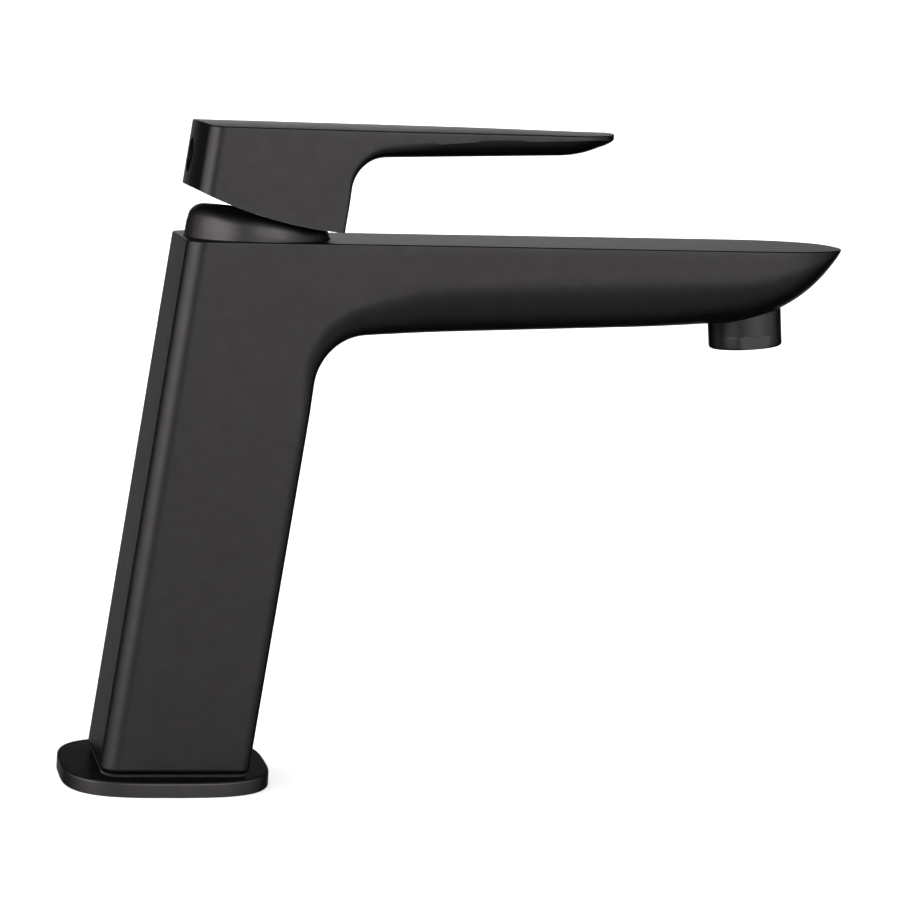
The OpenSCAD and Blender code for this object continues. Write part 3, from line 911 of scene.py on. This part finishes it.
def handle_shell():
    shell = Shell()
    curve, knee_start, knee_end = handle_curve()
    bands = handle_bands(curve, nearest(curve, knee_start), nearest(curve, knee_end))
    strips = [to_middle(row[-1], 4) for row in bands]
    edges = [row[0] for row in bands]
    shell.grid(bands)
    shell.grid(strips)
    # upright edge of the lever
    first = next(i for i, e in enumerate(edges) if e[0] > LEVER_SIDE_X)
    sides, radii = [], []
    for e in edges[first:]:
        radius = LEVER_EDGE_R * (TIP_EDGE + (1 - TIP_EDGE) * smooth(LEVER_TIP_X - e[0], 0.0, TIP_EDGE_L))
        sides.append(upright(e, max(e[2], handle_top(e[0], lever_half(e[0])) - radius), 4))
        radii.append(radius)
    shell.grid(sides)
    # back corner and flat side of the block
    back, corner = block_plan()
    back_walls = [block_wall(x, y) for x, y in back]
    corner_walls = [block_wall(x, y) for x, y in corner]
    shell.grid(corner_walls)
    side_x = spaced(corner[-1][0], BLOCK_FRONT - BLOCK_ROLL, 22)[:-1]
    low_edge = [belly_point(x, BLOCK_HALF) for x in side_x]
    shell.fill([low_edge + edges[: first + 1] + sides[0][1:] + [corner_walls[-1][1]]], side_view)
    # top edge and crowned top
    walls = back_walls + corner_walls
    top = [high for low, high in walls] + [side[-1] for side in sides]
    top_rows = rounded_top(top, [LEVER_EDGE_R] * len(walls) + radii, handle_top)
    shell.grid(top_rows)
    crown_rows = []
    for x, y, _ in top_rows[-1]:
        crown_rows.append([(x, y * t, handle_top(x, y * t)) for t in spaced(0, 1, 10)])
    shell.grid(crown_rows)
    # lower rim of the block and the hollow above it
    rim = [low for low, high in walls] + low_edge[1:] + bands[0] + strips[0][1:]
    inner, ceiling = [], []
    for point in rim:
        x, y, _ = leaning(point)
        y = min(y, BLOCK_HALF - HANDLE_WALL)
        x = min(max(x, bulge(y) + HANDLE_WALL), BLOCK_FRONT - HANDLE_WALL)
        inner.append(belly_point(x, y))
        roof = world(x, y, CEILING_Z)
        ceiling.append((roof[0], roof[1], handle_top(roof[0]) - CEILING_T))
    shell.grid([rim, inner, ceiling])
    shell.mirror()
    shell.fill([mirrored_loop(ceiling)], plan_view)
    back_panel(shell, back_walls + corner_walls[:1])
    return shell


def back_panel(shell, walls):
    """The block's bulged back with the round recess of the plug."""
    low = [w[0] for w in walls]
    high = [w[1] for w in walls]
    outline = [(x, -y, z) for x, y, z in reversed(low[1:])] + low
    outline += high[::-1] + [(x, -y, z) for x, y, z in high[1:]]
    hole, deep = [], []
    for turn in turns(48):
        y, z = PLUG_R * math.cos(turn), PLUG_Z + PLUG_R * math.sin(turn)
        hole.append(world(bulge(y), y, z))
        deep.append(world(BLOCK_BACK + PLUG_DEPTH, y, z))
    bulged = []
    for y in spaced(-PANEL_HALF, PANEL_HALF, 16):
        lowest = belly_point(bulge(y), y)[2] + PANEL_CLEAR_LOW
        for z in spaced(*PANEL_Z, 9):
            point = world(bulge(y), y, z)
            clear_of_plug = math.hypot(y, z - PLUG_Z) > PLUG_R + PANEL_CLEAR
            if clear_of_plug and lowest < point[2] < handle_top(point[0], y) - PANEL_CLEAR:
                bulged.append(point)
    shell.fill([outline, hole], back_view, bulged)
    shell.ring([hole, deep])
    shell.fill([deep], back_view)


def boss_shell():
    """Boss inside the handle that holds the stem."""
    profile = [
        (BOSS_BORE_R, BOSS_LOW_Z),
        (BOSS_R - BOSS_BEVEL, BOSS_LOW_Z - BOSS_BEVEL),
        (BOSS_R, BOSS_LOW_Z),
        (BOSS_R, BOSS_TOP_Z),
        (BOSS_BORE_R, BOSS_TOP_Z),
    ]
    shell = Shell()
    shell.revolve(profile, world, 48)
    return shell


# ---------- plate, collar, aerator ----------


def plate_outline(inset, z):
    """A squarish oval, moved inward square to itself."""
    points = []
    for a in turns(144):
        c, s = math.cos(a), math.sin(a)
        x = PLATE_HALF_L * math.copysign(abs(c) ** (2 / PLATE_SQUARENESS), c)
        y = PLATE_HALF_W * math.copysign(abs(s) ** (2 / PLATE_SQUARENESS), s)
        nx = math.copysign(abs(x / PLATE_HALF_L) ** (PLATE_SQUARENESS - 1), x) / PLATE_HALF_L
        ny = math.copysign(abs(y / PLATE_HALF_W) ** (PLATE_SQUARENESS - 1), y) / PLATE_HALF_W
        size = math.hypot(nx, ny)
        points.append((x - nx / size * inset, y - ny / size * inset, z))
    return points


def circle(radius, z):
    return [(radius * math.cos(a), radius * math.sin(a), z) for a in turns(96)]


def plate_shell():
    shell = Shell()
    rows = [plate_outline(inset, z) for inset, z in PLATE_LOW_EDGE]
    for inset, z in arc(PLATE_TOP_R, PLATE_T - PLATE_TOP_R, PLATE_TOP_R, 180, 90, 6):
        rows.append(plate_outline(inset, z))
    shell.ring(rows)
    groove = [circle(GROOVE_OUTER_R, z) for z in (0, GROOVE_DEPTH)]
    groove += [circle(GROOVE_INNER_R, z) for z in (GROOVE_DEPTH, 0)]
    hole = [circle(PLATE_HOLE_R + PLATE_HOLE_BEVEL, 0)]
    hole += [circle(PLATE_HOLE_R, z) for z in (PLATE_HOLE_BEVEL, PLATE_T)]
    shell.ring(groove + hole)
    shell.fill([rows[0], groove[0]], plan_view)
    shell.fill([rows[-1], hole[-1]], plan_view)
    return shell


def collar_shell():
    """Domed collar: a mouth round the stem, a rounded shoulder and a skirt that enters the body."""
    profile = [(COLLAR_MOUTH_R, 6.9), (COLLAR_MOUTH_R, 7.3), (COLLAR_MOUTH_R + 0.3, 7.55), (15.2, 7.42)]
    profile += arc(*SHOULDER, SHOULDER_R, 88, 2, 16)
    profile += [(COLLAR_R - 0.13, 2.0), (COLLAR_R, 1.0), (COLLAR_R, COLLAR_LOW_Z)]
    profile += [(COLLAR_INNER_R, COLLAR_LOW_Z), (COLLAR_INNER_R, 6.5), (COLLAR_MOUTH_R + 0.2, 6.6)]
    shell = Shell()
    shell.revolve(profile, world, 144)
    return shell


def aerator_place(x, y, z):
    """A point of the barrel's own frame, in the shared frame."""
    return (
        AERATOR_X + x * math.cos(AERATOR_TILT) + z * math.sin(AERATOR_TILT),
        y,
        AERATOR_Z - x * math.sin(AERATOR_TILT) + z * math.cos(AERATOR_TILT),
    )


def aerator_shell():
    """Barrel with a rounded rim, two spanner flats with a small ledge above, and a stepped bore."""
    flat_y = BARREL_R - FLAT_DEPTH

    def squeeze(x, y, z):
        if z < FLAT_TOP - 0.01 and abs(y) > flat_y:
            y = math.copysign(flat_y, y)
        return x, y

    profile = [(BARREL_R - 1.0, BARREL_H), (BARREL_R, BARREL_H), (BARREL_R, FLAT_TOP + 0.15)]
    profile += [(BARREL_R - LEDGE, FLAT_TOP), (BARREL_R - LEDGE, FLAT_TOP - 0.08), (BARREL_R, FLAT_TOP - 0.3)]
    profile += arc(BARREL_R - BARREL_RIM_R, BARREL_RIM_R, BARREL_RIM_R, 0, -90, 4)
    profile += [(BARREL_BORE_R + 0.3, 0.0), (BARREL_BORE_R, 0.3), (BARREL_BORE_R, 2.1)]
    profile += [(BARREL_THREAD_R, 2.2), (BARREL_THREAD_R, BARREL_H)]
    shell = Shell()
    shell.revolve(profile, aerator_place, 128, squeeze)
    return shell


# ---------- pieces: name, shape, coat, body, and the nodes that it replaces ----------

# A coat's two numbers are its tone and roughness. The tones above 1 for the plate, collar and aerator make
# lighter copies of the one black coat: painted light for the light that falls on these parts. The boss's tone
# below 1 makes a darker copy.
pieces = [
    ("mixer_body", body_shell, ("black_coat_body",), "mixer_body", ["body"]),
    ("base_plate_finish", plate_shell, ("black_coat_plate", 1.6, 0.43), "mixer_body", ["base_plate"]),
    ("collar", collar_shell, ("black_coat_collar", 1.4, 0.43), "mixer_body", ["dome_cap"]),
    ("aerator_barrel", aerator_shell, ("black_coat_aerator", 1.25, 0.36), "mixer_body", ["aerator_housing"]),
    ("lever_handle", handle_shell, ("black_coat_handle", 1.0, 0.4), "lever", ["handle"]),
    ("stem_boss", boss_shell, ("black_coat_boss", 0.9, 0.5), "lever", []),
]
for name, shape, coat, body, nodes in pieces:
    piece = shape().build(name, black_coat(*coat))
    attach(piece, body)
    if nodes:
        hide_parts(*nodes)

seal = rubber("seal_rubber")
white = acetal("acetal_white", (0.62, 0.62, 0.6), (0.72, 0.72, 0.69))
grey = acetal("acetal_grey", (0.2, 0.21, 0.24), (0.28, 0.29, 0.32))
disc = ceramic("disc_ceramic")
brass = metal("turned_brass", (0.6, 0.42, 0.18), (0.74, 0.55, 0.26), 0.28, (1, 1, 14))
steel = metal("ground_steel", (0.5, 0.5, 0.5), (0.62, 0.62, 0.61), 0.26, (1, 14, 1))
finishes = {
    "foot_seal": seal,
    "deck_seal": seal,
    "cap_o_ring": seal,
    "port_seals": seal,
    "aerator_washer": seal,
    "cartridge_nut": brass,
    "lever_stem": brass,
    "cartridge_housing": white,
    "cartridge_base": white,
    "rotor": white,
    "fixed_disc": disc,
    "moving_disc": disc,
    "disc_carrier": grey,
    "aerator_insert": acetal("acetal_insert", (0.3, 0.31, 0.32), (0.4, 0.4, 0.41)),
    "limit_ring": acetal("acetal_red", (0.42, 0.02, 0.015), (0.55, 0.035, 0.025)),
    "pivot_pin": steel,
    "aerator_screen": steel,
    "grub_screw": metal("black_oxide", (0.06, 0.06, 0.065), (0.1, 0.1, 0.105), 0.4, (1, 1, 1)),
    "handle_plug": black_coat("plug_plastic", 1.2, 0.3),
}
for node, material in finishes.items():
    mesh = frame["nodes"][node].data
    mesh.materials.clear()
    mesh.materials.append(material)

# ---------- stage, in metres ----------

FLOOR_HALF = 90.0
WORLD_STRENGTH = 1.03


def add_floor():
    """A pale floor, so wide that its far edge meets the world in one tone."""
    n = Nodes("pale_floor")
    n.colour(n.noise(3, 2), (0.655, 0.655, 0.655), (0.67, 0.67, 0.67))
    n.shader.inputs["Roughness"].default_value = 0.9
    mesh = bpy.data.meshes.new("floor")
    corners = [(x * FLOOR_HALF, y * FLOOR_HALF, 0) for x, y in ((-1, -1), (1, -1), (1, 1), (-1, 1))]
    mesh.from_pydata(corners, [], [range(len(corners))])
    mesh.materials.append(n.material)
    floor = bpy.data.objects.new("floor", mesh)
    bpy.context.scene.collection.objects.link(floor)


def soft_sun(name, toward, spread, strength):
    """A distant soft light. toward points from the object to the light, spread is its width in degrees."""
    light = bpy.data.lights.new(name, "SUN")
    light.angle = math.radians(spread)
    light.energy = strength
    sun = bpy.data.objects.new(name, light)
    bpy.context.scene.collection.objects.link(sun)
    sun.location = Vector(toward).normalized() * 2
    sun.rotation_mode = "QUATERNION"
    sun.rotation_quaternion = (-Vector(toward)).to_track_quat("-Z", "Y")


add_floor()
soft_sun("front", (0.26, -0.95, 0.08), 60, 11.5)
soft_sun("left", (-0.96, -0.08, 0.07), 56, 10.5)
soft_sun("left_front", (-0.82, -0.55, 0.08), 30, 4.0)
soft_sun("left_back", (-0.66, 0.72, 0.1), 40, 3.0)
soft_sun("right", (0.93, -0.3, 0.06), 50, 3.0)
soft_sun("behind", (0.1, 0.9, 0.34), 34, 0.55)

studio = bpy.data.worlds.new("studio")
bpy.context.scene.world = studio
studio.use_nodes = True
background = studio.node_tree.nodes["Background"]
background.inputs["Color"].default_value = (1, 1, 1, 1)
background.inputs["Strength"].default_value = WORLD_STRENGTH

# ---------- camera, at the photograph's viewing angle ----------

PITCH = math.radians(7.83)
YAW = math.radians(12.5)
ROLL = math.radians(3.0)
CAMERA_PLACE = (-0.12009, -0.92673, 0.2332)
LENS = 124.0
SENSOR = 36.0


def add_camera():
    """Looks down by PITCH and to the right by YAW, turned by ROLL about its own line of sight."""
    data = bpy.data.cameras.new("camera")
    data.lens = LENS
    data.sensor_width = SENSOR
    data.clip_end = 300
    camera = bpy.data.objects.new("camera", data)
    bpy.context.scene.collection.objects.link(camera)
    ahead = Vector((math.sin(YAW) * math.cos(PITCH), math.cos(YAW) * math.cos(PITCH), -math.sin(PITCH)))
    level = Vector((math.cos(YAW), -math.sin(YAW), 0))
    upright_axis = level.cross(ahead)
    right = level * math.cos(ROLL) + upright_axis * math.sin(ROLL)
    up = upright_axis * math.cos(ROLL) - level * math.sin(ROLL)
    turned = Matrix((right, up, -ahead)).transposed().to_4x4()
    camera.matrix_world = Matrix.Translation(CAMERA_PLACE) @ turned
    bpy.context.scene.camera = camera


add_camera()
bpy.context.scene.view_settings.view_transform = "Standard"
